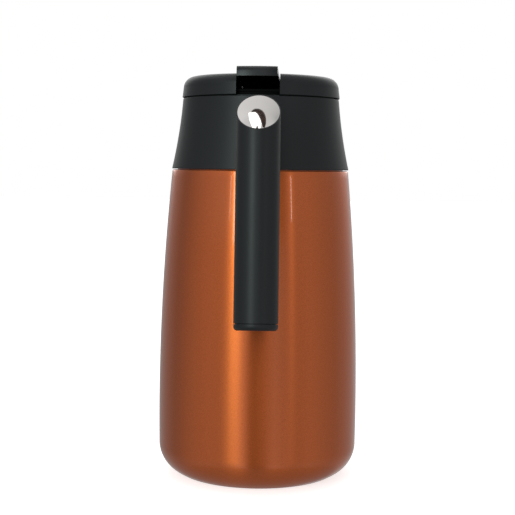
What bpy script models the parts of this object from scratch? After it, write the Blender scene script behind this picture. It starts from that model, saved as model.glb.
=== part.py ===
"""Vacuum carafe with a cantilever bar handle and a thumb lever that opens a valve in the screw-in lid.

Lengths in this script are millimetres; MM turns them into Blender's metres. +Z is up, the origin is the
centre of the base, the handle points along -Y and the spout along +Y.
"""

from math import atan2, cos, exp, hypot, pi, radians, sin, sqrt

import bmesh
import bpy
from mathutils import Matrix, Vector

MM = 0.001
GAP = 0.3  # clearance between pieces that touch

COLLAR_ROUND = 48
ROUND = 36  # facets round the body, the collar and the lid
SMALL_ROUND = 24  # facets round the handle
FINE_ROUND = 16  # facets round the valve, the pin and the screws

# Steel body
BODY_R = 63.5
WIDEST_Z = 42.0
BARREL_R = 1541.0  # radius of the long curve up the body's side
FOOT_R = 20.1  # rounding between the side and the sloped foot
FOOT_TOP_Z = 19.7
FOOT_TURN = 58.9  # degrees that the rounding turns through
FOOT_FLAT_R = 50.0
FOOT_Z = 0.5
SHELL_TOP_Z = 194.2
SHELL_T = 0.6
FLANGE_R = 45.2  # upturned flange inside the foot
SHOULDER_R = 52.6
NECK_R = 38.7
NECK_Z = 209.0
LIP_Z = 219.0
VACUUM_GAP = 5.0
MOUTH_R = 34.6  # outside of the liner's neck
PAD_R = 43.6
PAD_T = 2.7

# Collar round the neck
COLLAR_BOTTOM_Z = 194.7
COLLAR_TOP_Z = 239.0
COLLAR_BOTTOM_R = 56.25
COLLAR_TOP_R = 49.4
COLLAR_FLARE_R = 300.0  # radius of the collar's hollow flare
COLLAR_T = 2.6
DECK_T = 2.6
DECK_STEP_R = 42.3  # seat for the threaded sleeve's flange
SPOUT_REACH = 11.0
SPOUT_SPREAD = radians(18.0)
SPOUT_START_Z = 203.0
SLOT_HALF_W = 6.6
CHANNEL_FLOOR_Z = 227.0
CHANNEL_LIP_Z = 236.4

# Threaded sleeve in the collar and the lid's plug that screws into it
SLEEVE_R = 36.0
SLEEVE_OUT_R = 39.0
SKIRT_OUT_R = 41.5
SKIRT_BOTTOM_Z = 209.5
PLUG_R = 34.6
PLUG_T = 2.2
PLUG_TIP_R = 32.6
PLUG_BOTTOM_Z = 208.2
THREAD_REACH = 1.0
THREAD_W = 1.6
THREAD_LEAD = 20.0  # rise in one turn, with three starts
THREAD_STARTS = 3
THREAD_ARC = radians(65.0)
THREAD_Z = 227.5
THREAD_DROP = 2.2  # how far the plug's ridges sit below the sleeve's

# Lid
LID_BOTTOM_Z = 239.6
LID_TOP_Z = 253.0
LID_R = 49.9
LID_ROUND_R = 7.0
LID_T = 2.2
LID_TURN = radians(-1.6)  # where the thread stops the lid, seen from above
NOTCH_HALF_W = 13.15
FLANGE_T = 1.6
TRAY_Z = 241.5
TRAY_T = 1.5
TRAY_R = 46.6
TRAY_REAR_Y = -43.0
WELL_R = 7.8
WELL_T = 1.6
WELL_BOTTOM_Z = 225.4
SEAL_R = 4.8
SEAL_BOTTOM_Z = 222.9

# Lever and valve
LEVER_HALF_W = 12.25
LEVER_SIDE_X = -0.6  # the lever's side play in its notch, taken up to one side
LEVER_TOP_Z = 256.5
LIP_BOTTOM_Z = 250.5
LIP_R = 50.6  # reach of the lip from the axis of the body
PIVOT_Y = 22.0
PIVOT_Z = 247.2
PIN_R = 1.5
HUB_R = 3.3
BUTTON_TOP_Z = 248.0
STEM_R = 2.5
PORT_R = 9.5
VALVE_R = 13.0

# Handle, drawn in its own axes: the grip runs down -Z and the arm runs to the body along +Y
CORNER_Y = -92.0
CORNER_Z = 227.2
HANDLE_TILT = radians(8.0)
MITRE_SLOPE = 0.94  # rise over run of the cut across the corner
GRIP_R = 12.5
GRIP_BORE_R = 9.6
GRIP_LENGTH = 118.7
PLUG_GAP = 0.4
END_T = 3.6
CAP_RIM = 0.45
CAP_POCKET = 1.4
CAP_CROWN = 1.8
ARM_WALL = 4.0
BOLT_R = 2.4
BOLT_HEAD_R = 4.4

COLOURS = {
    "copper_lacquer": ((0.32, 0.085, 0.027), 0.35, 0.9),
    "steel": ((0.55, 0.55, 0.54), 0.3, 1.0),
    "charcoal_plastic": ((0.022, 0.025, 0.027), 0.45, 0.0),
    "black_plastic": ((0.004, 0.004, 0.004), 0.5, 0.0),
    "chrome": ((0.8, 0.8, 0.8), 0.05, 1.0),
    "silicone": ((0.35, 0.35, 0.34), 0.6, 0.0),
    "black_rubber": ((0.01, 0.01, 0.01), 0.8, 0.0),
    "brass": ((0.6, 0.4, 0.12), 0.3, 1.0),
}


# ---------------------------------------------------------------- helpers


def clear_scene():
    for obj in list(bpy.data.objects):
        bpy.data.objects.remove(obj)


def material(name):
    """The Principled material of that name, made the first time it is asked for."""
    found = bpy.data.materials.get(name)
    if found:
        return found
    colour, roughness, metallic = COLOURS[name]
    made = bpy.data.materials.new(name)
    made.use_nodes = True
    shader = made.node_tree.nodes["Principled BSDF"]
    shader.inputs["Base Color"].default_value = (*colour, 1.0)
    shader.inputs["Roughness"].default_value = roughness
    shader.inputs["Metallic"].default_value = metallic
    return made


def arc(centre, radius, start, end, steps):
    """Points (r, z) along an arc; the angles are degrees from the +r direction towards +z."""
    turns = [radians(start + (end - start) * i / steps) for i in range(steps + 1)]
    return [(centre[0] + radius * cos(a), centre[1] + radius * sin(a)) for a in turns]


def add_object(name, bm, material_name=None, matrix=None):
    """An object from a bmesh in millimetres, shaded smooth over its soft edges."""
    bmesh.ops.scale(bm, vec=(MM, MM, MM), verts=bm.verts)
    bmesh.ops.recalc_face_normals(bm, faces=bm.faces)
    mesh = bpy.data.meshes.new(name)
    bm.to_mesh(mesh)
    bm.free()
    mesh.shade_smooth()
    mesh.set_sharp_from_angle(angle=radians(32.0))
    obj = bpy.data.objects.new(name, mesh)
    bpy.context.scene.collection.objects.link(obj)
    if matrix is not None:
        obj.matrix_world = matrix
    if material_name:
        mesh.materials.append(material(material_name))
    return obj


def place(x=0.0, y=0.0, z=0.0, rotation=None):
    """A matrix from a position in millimetres and an optional rotation matrix."""
    move = Matrix.Translation(Vector((x, y, z)) * MM)
    return move @ rotation if rotation else move


def turned(section, segments=ROUND):
    """A solid of revolution about Z, as a bmesh, from its closed (r, z) outline."""
    return spun([*section, section[0]], segments)


def spun(profile, segments=ROUND):
    """The surface that a (r, z) profile sweeps about Z; lengths along the axis itself are left out."""
    bm = bmesh.new()
    verts = [bm.verts.new((r, 0.0, z)) for r, z in profile]
    pairs = [pair for pair in zip(verts, verts[1:]) if pair[0].co.x > 0 or pair[1].co.x > 0]
    edges = [bm.edges.new(pair) for pair in pairs]
    bmesh.ops.spin(
        bm,
        geom=verts + edges,
        cent=(0.0, 0.0, 0.0),
        axis=(0.0, 0.0, 1.0),
        angle=2.0 * pi,
        steps=segments,
        use_merge=True,
    )
    bmesh.ops.remove_doubles(bm, verts=bm.verts, dist=1e-4)
    bmesh.ops.dissolve_degenerate(bm, edges=bm.edges, dist=1e-4)
    return bm


def turned_object(name, section, material_name, segments=ROUND, matrix=None):
    return add_object(name, turned(section, segments), material_name, matrix)


def walled(profile, thickness):
    """A closed section: the profile, and its copy moved to the left of its run by the sheet's thickness."""
    steps = [(b[0] - a[0], b[1] - a[1]) for a, b in zip(profile, profile[1:])]
    lefts = [Vector((-dz, dr)).normalized() for dr, dz in steps]
    moved = []
    for i, (r, z) in enumerate(profile):
        before, after = lefts[max(i - 1, 0)], lefts[min(i, len(lefts) - 1)]
        shift = (before + after) * (thickness / (1.0 + before.dot(after)))
        moved.append((0.0 if r == 0 else r + shift.x, z + shift.y))
    return [*profile, *reversed(moved)]


def disc_section(radius, bottom, top, hole=0.0):
    """The half section of a disc, or of a ring when it has a hole."""
    return [(hole, bottom), (radius, bottom), (radius, top), (hole, top)]


def prism(outline, half_width):
    """A bmesh of a (y, z) outline extruded to both sides along X."""
    bm = bmesh.new()
    face = bm.faces.new([bm.verts.new((-half_width, y, z)) for y, z in outline])
    made = bmesh.ops.extrude_face_region(bm, geom=[face])
    moved = [v for v in made["geom"] if isinstance(v, bmesh.types.BMVert)]
    bmesh.ops.translate(bm, vec=(2.0 * half_width, 0.0, 0.0), verts=moved)
    return bm


def block(x0, x1, y0, y1, z0, z1):
    bm = prism([(y0, z0), (y1, z0), (y1, z1), (y0, z1)], (x1 - x0) / 2.0)
    bmesh.ops.translate(bm, vec=((x0 + x1) / 2.0, 0.0, 0.0), verts=bm.verts)
    return bm


def rod(radius, bottom, top, segments=FINE_ROUND):
    return turned(disc_section(radius, bottom, top), segments)


def join(obj, bm, operation="DIFFERENCE", matrix=None):
    """Cuts the bmesh's shape from obj, or adds it with UNION, and hides the tool."""
    tool = add_object(f"{obj.name}_tool_{len(obj.modifiers)}", bm, matrix=matrix)
    tool.hide_render = True
    tool.display_type = "WIRE"
    boolean = obj.modifiers.new(tool.name, "BOOLEAN")
    boolean.operation = operation
    boolean.object = tool
    boolean.solver = "EXACT"
    return obj


def bridge(bm, rings):
    """Skins a row of rings into a closed bar."""
    for a, b in zip(rings, rings[1:]):
        for i in range(len(a)):
            j = (i + 1) % len(a)
            bm.faces.new((a[i], a[j], b[j], b[i]))
    bm.faces.new(rings[0][::-1])
    bm.faces.new(rings[-1])
    return bm


def ridge(radius, reach, start, bottom_z, backing):
    """One helical thread ridge, reach beyond radius (inwards if negative), with its root sunk in the wall."""
    steps = 12
    root = radius - backing if reach > 0 else radius + backing
    crest_half = THREAD_W * 0.25
    bm = bmesh.new()
    rings = []
    for i in range(steps + 1):
        angle = start + THREAD_ARC * i / steps
        z = bottom_z + THREAD_LEAD * THREAD_ARC / (2.0 * pi) * i / steps
        corners = [
            (root, z - THREAD_W / 2.0),
            (radius + reach, z - crest_half),
            (radius + reach, z + crest_half),
            (root, z + THREAD_W / 2.0),
        ]
        rings.append([bm.verts.new((r * cos(angle), r * sin(angle), h)) for r, h in corners])
    return bridge(bm, rings)


def threaded(obj, radius, reach, bottom_z, first_angle):
    """Adds the three ridges of the quick thread to obj's wall."""
    for i in range(THREAD_STARTS):
        start = first_angle + 2.0 * pi * i / THREAD_STARTS
        join(obj, ridge(radius, reach, start, bottom_z, 0.7), "UNION")
    return obj


# ---------------------------------------------------------------- steel body


def body_radius(z):
    """Outside radius of the body's side at a height."""
    return BODY_R - BARREL_R + sqrt(BARREL_R**2 - (z - WIDEST_Z) ** 2)


def outer_shell():
    foot_centre = (body_radius(FOOT_TOP_Z) - FOOT_R, FOOT_TOP_Z)
    side = [FOOT_TOP_Z + (SHELL_TOP_Z - 0.8 - FOOT_TOP_Z) * i / 5 for i in range(1, 6)]
    top_r = body_radius(SHELL_TOP_Z)
    profile = [(FLANGE_R, 6.0), (FLANGE_R, FOOT_Z + 1.4), (FLANGE_R + 1.2, FOOT_Z)]
    profile += [(FOOT_FLAT_R, FOOT_Z), *arc(foot_centre, FOOT_R, -FOOT_TURN, 0.0, 5)]
    profile += [(body_radius(z), z) for z in side]
    profile += [(top_r - 0.5, SHELL_TOP_Z), (SHOULDER_R, SHELL_TOP_Z)]
    profile += arc((SHOULDER_R - 8.0, SHELL_TOP_Z + 2.0), 8.0, 0.0, 60.0, 3)
    profile += arc((NECK_R + 5.0, NECK_Z), 5.0, -130.0, -180.0, 3)
    profile += [(NECK_R, LIP_Z - SHELL_T - GAP)]
    turned_object("outer_shell", walled(profile, SHELL_T), "copper_lacquer")


def inner_liner():
    """The vessel: its outer face stands off the shell's by the vacuum gap."""
    inset = SHELL_T + VACUUM_GAP
    side = [24.0, 100.0, 180.0]
    side_r = [body_radius(z) - inset for z in side]
    profile = [(0.0, 12.5), (18.0, 11.4), (36.0, 10.6)]
    profile += arc((side_r[0] - 14.0, 24.0), 14.0, -72.0, 0.0, 4)
    profile += list(zip(side_r, side))
    profile += arc((36.6, 180.0), side_r[-1] - 36.6, 15.0, 60.0, 3)
    profile += [(MOUTH_R, 203.0), (MOUTH_R, LIP_Z - SHELL_T)]
    profile += [(NECK_R, LIP_Z - SHELL_T)]
    turned_object("inner_liner", walled(profile, SHELL_T), "steel")


def base_parts():
    plate_r = FLANGE_R - SHELL_T - 0.1
    profile = [(0.0, 6.2), (10.0, 6.2), (13.0, 3.0), (plate_r - 1.0, 3.0)]
    profile += [(plate_r, 4.0), (plate_r, 7.0)]
    turned_object("base_plate", walled(profile, SHELL_T), "steel")
    turned_object("vacuum_seal_cap", disc_section(6.0, 5.2, 6.2 - GAP), "steel", FINE_ROUND)
    turned_object("getter_capsule", disc_section(7.0, 7.4, 9.6), "steel", FINE_ROUND)
    pad = [(0.0, 0.0), (PAD_R - 1.5, 0.0), (PAD_R, 1.0), (PAD_R, PAD_T), (0.0, PAD_T)]
    turned_object("base_pad", pad, "black_rubber")


# ---------------------------------------------------------------- collar and neck


def collar_radius(z):
    """Outside radius of the collar: a hollow flare that is nearly upright at the top."""
    drop = COLLAR_TOP_Z - z
    full = COLLAR_TOP_Z - COLLAR_BOTTOM_Z
    slope = (COLLAR_BOTTOM_R - COLLAR_TOP_R) / full - full / (2.0 * COLLAR_FLARE_R)
    return COLLAR_TOP_R + slope * drop + drop**2 / (2.0 * COLLAR_FLARE_R)


def spout_pull(x, y, z):
    """How far the spout draws the collar's wall outwards at a point."""
    rise = max(0.0, (z - SPOUT_START_Z) / (COLLAR_TOP_Z - SPOUT_START_Z))
    off_front = atan2(x, y)
    return SPOUT_REACH * rise**1.7 * exp(-((off_front / SPOUT_SPREAD) ** 2))


def collar():
    heights = [COLLAR_BOTTOM_Z + (COLLAR_TOP_Z - 0.8 - COLLAR_BOTTOM_Z) * i / 7 for i in range(8)]
    outside = [(collar_radius(z), z) for z in heights]
    outside += [(COLLAR_TOP_R - 0.8, COLLAR_TOP_Z)]
    deck_z = COLLAR_TOP_Z - 1.9
    deck = [(DECK_STEP_R, COLLAR_TOP_Z), (DECK_STEP_R, deck_z)]
    deck += [(SLEEVE_OUT_R + GAP, deck_z), (SLEEVE_OUT_R + GAP, deck_z - DECK_T)]
    inside_z = [deck_z - DECK_T, 225.0, 215.0, 205.0, COLLAR_BOTTOM_Z]
    inside = [(collar_radius(z) - COLLAR_T, z) for z in inside_z]
    bm = turned(outside + deck + inside, COLLAR_ROUND)
    outer_wall = [v for v in bm.verts if hypot(v.co.x, v.co.y) > DECK_STEP_R + 1.0]
    for v in outer_wall:
        pull = spout_pull(v.co.x, v.co.y, v.co.z)
        out = Vector((v.co.x, v.co.y, 0.0)).normalized()
        v.co += out * pull
    obj = add_object("collar", bm, "charcoal_plastic")
    join(obj, rod(9.0, 42.6, 49.5), "UNION", handle_axes(along_arm=True))
    join(obj, turned([(r, z) for r, z in collar_clearance()]), "DIFFERENCE")
    join(obj, prism(pour_slot(), SLOT_HALF_W))
    join(obj, block(-7.3, 7.3, -4.8, 4.8, 30.0, 43.9), matrix=handle_axes(along_arm=True))
    join(obj, rod(4.3, 30.0, 60.0), matrix=handle_axes(along_arm=True))
    return obj


def collar_clearance():
    """The space inside the collar that its handle boss has to stay out of."""
    return [
        (SKIRT_OUT_R + 1.0, COLLAR_BOTTOM_Z),
        (SKIRT_OUT_R + 1.0, 232.0),
        (20.0, 232.0),
        (20.0, COLLAR_BOTTOM_Z),
    ]


def pour_slot():
    """The (y, z) outline of the slot that the liquid takes through the collar to the spout's lip."""
    inner, outer = SLEEVE_R - 3.0, COLLAR_TOP_R + SPOUT_REACH + 6.0
    tip = COLLAR_TOP_R + SPOUT_REACH - COLLAR_T
    return [
        (inner, CHANNEL_FLOOR_Z - GAP),
        (tip, CHANNEL_LIP_Z - 0.8),
        (outer, CHANNEL_LIP_Z - 0.6),
        (outer, LID_TOP_Z),
        (inner, LID_TOP_Z),
    ]


def pour_channel():
    """A trough that bridges from the sleeve's window to the spout."""
    start, end = SLEEVE_R + 0.6, COLLAR_TOP_R + SPOUT_REACH - COLLAR_T - GAP
    slope = (CHANNEL_LIP_Z - 0.8 - (CHANNEL_FLOOR_Z - GAP)) / (end + GAP - (SLEEVE_R - 3.0))
    floor = [CHANNEL_FLOOR_Z + slope * (y - SLEEVE_R + 3.0) for y in (start, end)]
    top = COLLAR_TOP_Z - 0.6
    outline = [(start, floor[0]), (end, floor[1]), (end, top), (start, top)]
    obj = add_object("pour_channel", prism(outline, SLOT_HALF_W - GAP), "charcoal_plastic")
    hollow = [
        (start - 1.0, floor[0] + 1.4 - slope),
        (end + 1.0, floor[1] + 1.4 + slope),
        (end + 1.0, top + 2.0),
        (start - 1.0, top + 2.0),
    ]
    return join(obj, prism(hollow, SLOT_HALF_W - GAP - 1.5))


def neck_sleeve():
    section = [
        (SLEEVE_R, LIP_Z + 2.0),
        (SLEEVE_R, COLLAR_TOP_Z - 0.2),
        (DECK_STEP_R - GAP, COLLAR_TOP_Z - 0.2),
        (DECK_STEP_R - GAP, COLLAR_TOP_Z - 1.6),
        (SLEEVE_OUT_R, COLLAR_TOP_Z - 1.6),
        (SLEEVE_OUT_R, LIP_Z + 3.0),
        (SKIRT_OUT_R, LIP_Z + 1.0),
        (SKIRT_OUT_R, SKIRT_BOTTOM_Z),
        (NECK_R + 0.4, SKIRT_BOTTOM_Z),
        (NECK_R + 0.4, LIP_Z + 2.0),
    ]
    obj = turned_object("neck_sleeve", section, "black_plastic")
    threaded(obj, SLEEVE_R, -THREAD_REACH, THREAD_Z, radians(120.0))
    window_z = CHANNEL_FLOOR_Z - GAP
    return join(obj, block(-SLOT_HALF_W, SLOT_HALF_W, 30.0, 46.0, window_z, LID_TOP_Z))


def neck_gasket():
    section = disc_section(NECK_R, LIP_Z + GAP, LIP_Z + 2.0 - GAP, MOUTH_R + 0.4)
    turned_object("neck_gasket", section, "silicone")


# ---------------------------------------------------------------- lid


def stopper_body():
    floor_top = PLUG_BOTTOM_Z + PLUG_T
    step_z = LIP_Z + 2.4
    section = [
        (PORT_R, PLUG_BOTTOM_Z),
        (PLUG_TIP_R - 1.0, PLUG_BOTTOM_Z),
        (PLUG_TIP_R, PLUG_BOTTOM_Z + 1.0),
        (PLUG_TIP_R, 211.4),
        (30.9, 211.4),
        (30.9, 215.8),
        (PLUG_TIP_R, 215.8),
        (PLUG_TIP_R, step_z - 1.4),
        (PLUG_R, step_z),
        (PLUG_R, LID_BOTTOM_Z),
        (TRAY_R - 1.3, LID_BOTTOM_Z),
        (TRAY_R - 1.3, LID_BOTTOM_Z + FLANGE_T),
        (PLUG_R - PLUG_T, LID_BOTTOM_Z + FLANGE_T),
        (PLUG_R - PLUG_T, step_z),
        (29.0, 216.5),
        (29.0, floor_top),
        (PORT_R, floor_top),
    ]
    obj = turned_object("stopper_body", section, "black_plastic")
    threaded(obj, PLUG_R, THREAD_REACH, THREAD_Z - THREAD_DROP, radians(122.0))
    join(obj, block(-6.5, 6.5, 28.0, 40.0, CHANNEL_FLOOR_Z + 1.0, 237.0))
    for x, y in screw_places():
        join(obj, rod(3.4, 226.0, LID_BOTTOM_Z + FLANGE_T - 0.2, 12), "UNION", place(x, y))
        join(obj, rod(1.5, 228.0, LID_TOP_Z, 12), matrix=place(x, y))
    return obj


def screw_places():
    """The four (x, y) places of the screws that hold the tray to the stopper."""
    reach = PLUG_R - PLUG_T - 2.2
    return [(reach * cos(radians(a)), reach * sin(radians(a))) for a in (35, 145, 215, 325)]


def stopper_gasket():
    section = [(31.2, 211.8), (33.0, 212.1), (33.4, 212.8), (32.7, 213.6)]
    section += [(33.4, 214.4), (33.0, 215.1), (31.2, 215.4)]
    turned_object("stopper_gasket", section, "silicone")


def lid_cover():
    round_centre = (LID_R - 0.7 - LID_ROUND_R, LID_TOP_Z - 0.5 - LID_ROUND_R)
    outside = [(LID_R, LID_BOTTOM_Z)] + arc(round_centre, LID_ROUND_R, 0.0, 86.0, 5)
    outside += [(22.0, LID_TOP_Z - 0.1), (0.0, LID_TOP_Z)]
    inside_top = LID_TOP_Z - LID_T
    inside = [(0.0, inside_top), (22.0, inside_top - 0.1)]
    inside += arc(round_centre, LID_ROUND_R - LID_T, 86.0, 0.0, 4)
    inside += [(TRAY_R + 0.9, 244.5), (TRAY_R + GAP, 243.5), (TRAY_R + GAP, TRAY_Z - GAP)]
    inside += [(TRAY_R - 1.0, TRAY_Z - GAP), (TRAY_R - 1.0, 240.4), (TRAY_R + 0.6, LID_BOTTOM_Z)]
    obj = turned_object("lid_cover", outside + inside, "charcoal_plastic")
    notch_front = PIVOT_Y + 6.0
    outline = [(-60.0, 230.0), (-20.0, 230.0), (-20.0, 249.0), (notch_front, 249.0)]
    outline += [(notch_front, 260.0), (-60.0, 260.0)]
    return join(obj, prism(outline, NOTCH_HALF_W))


def lever_tray():
    """The lid's inner housing: floor, spring well and the two walls that carry the lever's pin."""
    floor_top = TRAY_Z + TRAY_T
    section = [
        (SEAL_R + 0.2, SEAL_BOTTOM_Z),
        (WELL_R + WELL_T, SEAL_BOTTOM_Z),
        (WELL_R + WELL_T, TRAY_Z),
        (TRAY_R, TRAY_Z),
        (TRAY_R, floor_top),
        (WELL_R, floor_top),
        (WELL_R, WELL_BOTTOM_Z + WELL_T),
        (STEM_R + 0.4, WELL_BOTTOM_Z + WELL_T),
        (STEM_R + 0.4, WELL_BOTTOM_Z),
        (SEAL_R + 0.2, WELL_BOTTOM_Z),
    ]
    obj = turned_object("lever_tray", section, "black_plastic")
    front, low = PIVOT_Y + 7.0, floor_top - 0.5
    wall = [(-43.8, low), (front, low), (front, 250.0), (-40.2, 250.0), (-43.8, 246.8)]
    for side in (-1, 1):
        move = place(side * (NOTCH_HALF_W + 0.95))
        join(obj, prism(wall, 0.85), "UNION", move)
    join(obj, block(-NOTCH_HALF_W, NOTCH_HALF_W, -60.0, TRAY_REAR_Y, 230.0, 260.0))
    across = Matrix.Rotation(pi / 2.0, 4, "Y")
    join(obj, rod(PIN_R + 0.1, -20.0, 20.0), matrix=place(0.0, PIVOT_Y, PIVOT_Z, across))
    for x, y in screw_places():
        join(obj, rod(1.8, 230.0, 260.0, 12), matrix=place(x, y))
    return obj


def tray_screws():
    for i, (x, y) in enumerate(screw_places(), 1):
        head_z = TRAY_Z + TRAY_T + GAP
        section = [(0.0, 229.0), (1.2, 230.0), (1.2, head_z), (2.8, head_z)]
        section += [(2.8, head_z + 1.2), (1.8, head_z + 2.0), (0.0, head_z + 2.0)]
        turned_object(f"tray_screw_{i}", section, "steel", 12, place(x, y))


def lever():
    """The thumb lever: a strip over the lid with a flared lip at the back and a hub on the pin."""
    lip_front_y = 3.6 - LIP_R
    outline = [(PIVOT_Y + 4.6, 251.9), (0.0, 253.2), (-30.0, 254.8), (-44.5, LEVER_TOP_Z)]
    outline += [(-60.0, LEVER_TOP_Z), (-60.0, LIP_BOTTOM_Z), (lip_front_y, LIP_BOTTOM_Z)]
    outline += [(lip_front_y + 1.5, 252.3), (-4.5, 250.6), (-1.8, BUTTON_TOP_Z + GAP)]
    outline += [(1.8, BUTTON_TOP_Z + GAP), (4.5, 250.0), (16.0, 249.4)]
    outline += arc((PIVOT_Y, PIVOT_Z), HUB_R, 150.0, 390.0, 8)
    outline += [(PIVOT_Y + 4.6, 249.4)]
    obj = add_object("lever", prism(outline, LEVER_HALF_W), "charcoal_plastic", place(LEVER_SIDE_X))
    join(obj, turned(lip_form(), COLLAR_ROUND), "INTERSECT")
    across = Matrix.Rotation(pi / 2.0, 4, "Y")
    return join(obj, rod(PIN_R + 0.1, -20.0, 20.0), matrix=place(0.0, PIVOT_Y, PIVOT_Z, across))


def lip_form():
    """A round form whose side gives the lever's lip its face: rounded on top, flared at the foot."""
    section = [(0.0, 240.0), (LIP_R - 0.2, 240.0), (LIP_R - 0.2, LIP_BOTTOM_Z), (LIP_R, LIP_BOTTOM_Z + 0.5)]
    section += [(LIP_R - 0.35, 251.8), (LIP_R - 0.6, 252.7)]
    section += arc((LIP_R - 3.9, 253.4), 3.2, 0.0, 68.0, 4)
    return section + [(LIP_R - 6.6, 257.2), (LIP_R - 6.6, 260.0), (0.0, 260.0)]


def lever_pin():
    across = Matrix.Rotation(pi / 2.0, 4, "Y")
    matrix = place(0.0, PIVOT_Y, PIVOT_Z, across)
    half = NOTCH_HALF_W + 1.6
    turned_object("lever_pin", disc_section(PIN_R, -half, half), "steel", FINE_ROUND, matrix)


def valve_parts():
    """Everything that the lever pushes down: button, stem, plate and its seal, with the return spring."""
    button = [(STEM_R + 0.1, 245.4), (WELL_R - 0.5, 245.4), (WELL_R - 0.5, 247.0)]
    button += [(5.5, BUTTON_TOP_Z), (0.0, BUTTON_TOP_Z), (0.0, 246.9), (STEM_R + 0.1, 246.9)]
    turned_object("valve_button", button, "black_plastic", FINE_ROUND)
    stem = [(0.0, 204.6), (STEM_R, 204.6), (STEM_R, 246.6), (0.0, 246.6)]
    turned_object("valve_stem", stem, "steel", FINE_ROUND)
    plate = [(0.0, 201.6), (4.5, 201.6), (4.5, 203.0), (VALVE_R - 0.8, 203.0), (VALVE_R, 203.8)]
    plate += [(VALVE_R, 205.6), (STEM_R + 0.1, 205.6), (STEM_R + 0.1, 204.3), (0.0, 204.3)]
    turned_object("valve_plate", plate, "black_plastic", ROUND // 2)
    seal = [(STEM_R + 0.6, 205.9), (VALVE_R, 205.9), (VALVE_R, 207.0), (VALVE_R - 1.2, 207.9)]
    seal += [(VALVE_R - 2.6, 207.9), (PORT_R, 207.2), (STEM_R + 0.6, 207.2)]
    turned_object("valve_seal", seal, "silicone", ROUND // 2)
    ring = disc_section(SEAL_R, SEAL_BOTTOM_Z + GAP, WELL_BOTTOM_Z - 0.2, STEM_R + 0.2)
    turned_object("stem_seal", ring, "silicone", FINE_ROUND)


def valve_spring():
    """The return spring, wound from the well's floor to the button."""
    wire_r, coil_r, turns, sides = 0.5, 5.6, 6, 6
    bottom, top = WELL_BOTTOM_Z + WELL_T + wire_r + 0.2, 245.4 - wire_r - 0.2
    steps = turns * 12
    bm = bmesh.new()
    rings = []
    for i in range(steps + 1):
        turn = Matrix.Rotation(2.0 * pi * turns * i / steps, 4, "Z")
        z = bottom + (top - bottom) * i / steps
        around = [2.0 * pi * k / sides for k in range(sides)]
        wire = [Vector((coil_r + wire_r * cos(a), 0.0, z + wire_r * sin(a))) for a in around]
        rings.append([bm.verts.new(turn @ point) for point in wire])
    bridge(bm, rings)
    add_object("valve_spring", bm, "steel")


# ---------------------------------------------------------------- handle


def handle_axes(along_arm=False):
    """The handle's own axes; with along_arm, +Z runs down the arm towards the body instead."""
    matrix = place(0.0, CORNER_Y, CORNER_Z, Matrix.Rotation(-HANDLE_TILT, 4, "X"))
    return matrix @ Matrix.Rotation(-pi / 2.0, 4, "X") if along_arm else matrix


def mitre_axes(depth=0.0):
    """Axes on the handle's mitred corner: +Z out of the cut face, +Y up its slope."""
    tilt = Matrix.Rotation(atan2(MITRE_SLOPE, 1.0), 4, "X")
    return handle_axes() @ tilt @ Matrix.Translation((0.0, 0.0, -depth * MM))


def oval(bm):
    """Stretches a round bmesh into the two half ellipses that the mitred bar shows."""
    for v in bm.verts:
        rise = 1.0 / MITRE_SLOPE if v.co.y > 0.0 else MITRE_SLOPE
        v.co.y *= sqrt(1.0 + rise**2)
    return bm


def elbow(radius, grip_length, arm_length):
    """A solid bar of two legs, down -Z and along +Y, with its outer corner cut off square to the bend."""
    bm = bmesh.new()
    turns = [2.0 * pi * i / SMALL_ROUND for i in range(SMALL_ROUND)]
    ring = [(radius * cos(a), radius * sin(a)) for a in turns]
    corner = [bm.verts.new((x, y, min(-y, MITRE_SLOPE * y))) for x, y in ring]
    upper = {}
    for i, (x, y) in enumerate(ring):
        upper[i] = corner[i] if y > -1e-6 else bm.verts.new((x, -y / MITRE_SLOPE, -y))
    foot = [bm.verts.new((x, y, -grip_length)) for x, y in ring]
    far = [bm.verts.new((x, arm_length, -y)) for x, y in ring]
    for i in range(SMALL_ROUND):
        j = (i + 1) % SMALL_ROUND
        bm.faces.new((corner[i], corner[j], foot[j], foot[i]))
        bm.faces.new((upper[i], far[i], far[j], upper[j]))
    bm.faces.new(foot)
    bm.faces.new(far)
    half = SMALL_ROUND // 2
    lower_rim = [corner[i % SMALL_ROUND] for i in range(half, SMALL_ROUND + 1)]
    upper_rim = [upper[i] for i in range(SMALL_ROUND - 1, half, -1)]
    bm.faces.new(lower_rim + upper_rim)
    return bm


def handle_grip():
    obj = add_object("handle_grip", elbow(GRIP_R, GRIP_LENGTH, 44.0), "charcoal_plastic", handle_axes())
    arm = handle_axes(along_arm=True)
    pocket_r = GRIP_R - CAP_RIM
    join(obj, elbow(GRIP_BORE_R, GRIP_LENGTH + 5.0, arm_wall_start()), matrix=handle_axes())
    join(obj, oval(rod(pocket_r, -CAP_POCKET, 5.0, SMALL_ROUND)), matrix=mitre_axes())
    join(obj, turned(collar_body(GAP), COLLAR_ROUND))
    join(obj, block(-7.0, 7.0, -4.5, 4.5, arm_wall_start() + 1.0, 43.5), "UNION", arm)
    join(obj, rod(BOLT_R + 0.3, 20.0, 50.0), matrix=arm)
    return obj


def arm_wall_start():
    """How far along the arm its hollow ends, just short of the collar."""
    return (-CORNER_Y - collar_radius(221.4)) / cos(HANDLE_TILT) - ARM_WALL


def collar_body(gap):
    """The collar's outer form as a solid section, for fitting the arm's end to it."""
    heights = [COLLAR_BOTTOM_Z + (COLLAR_TOP_Z - COLLAR_BOTTOM_Z) * i / 7 for i in range(8)]
    rim = [(collar_radius(z) + gap, z) for z in heights]
    return [(0.0, COLLAR_BOTTOM_Z), *rim, (0.0, COLLAR_TOP_Z)]


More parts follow.
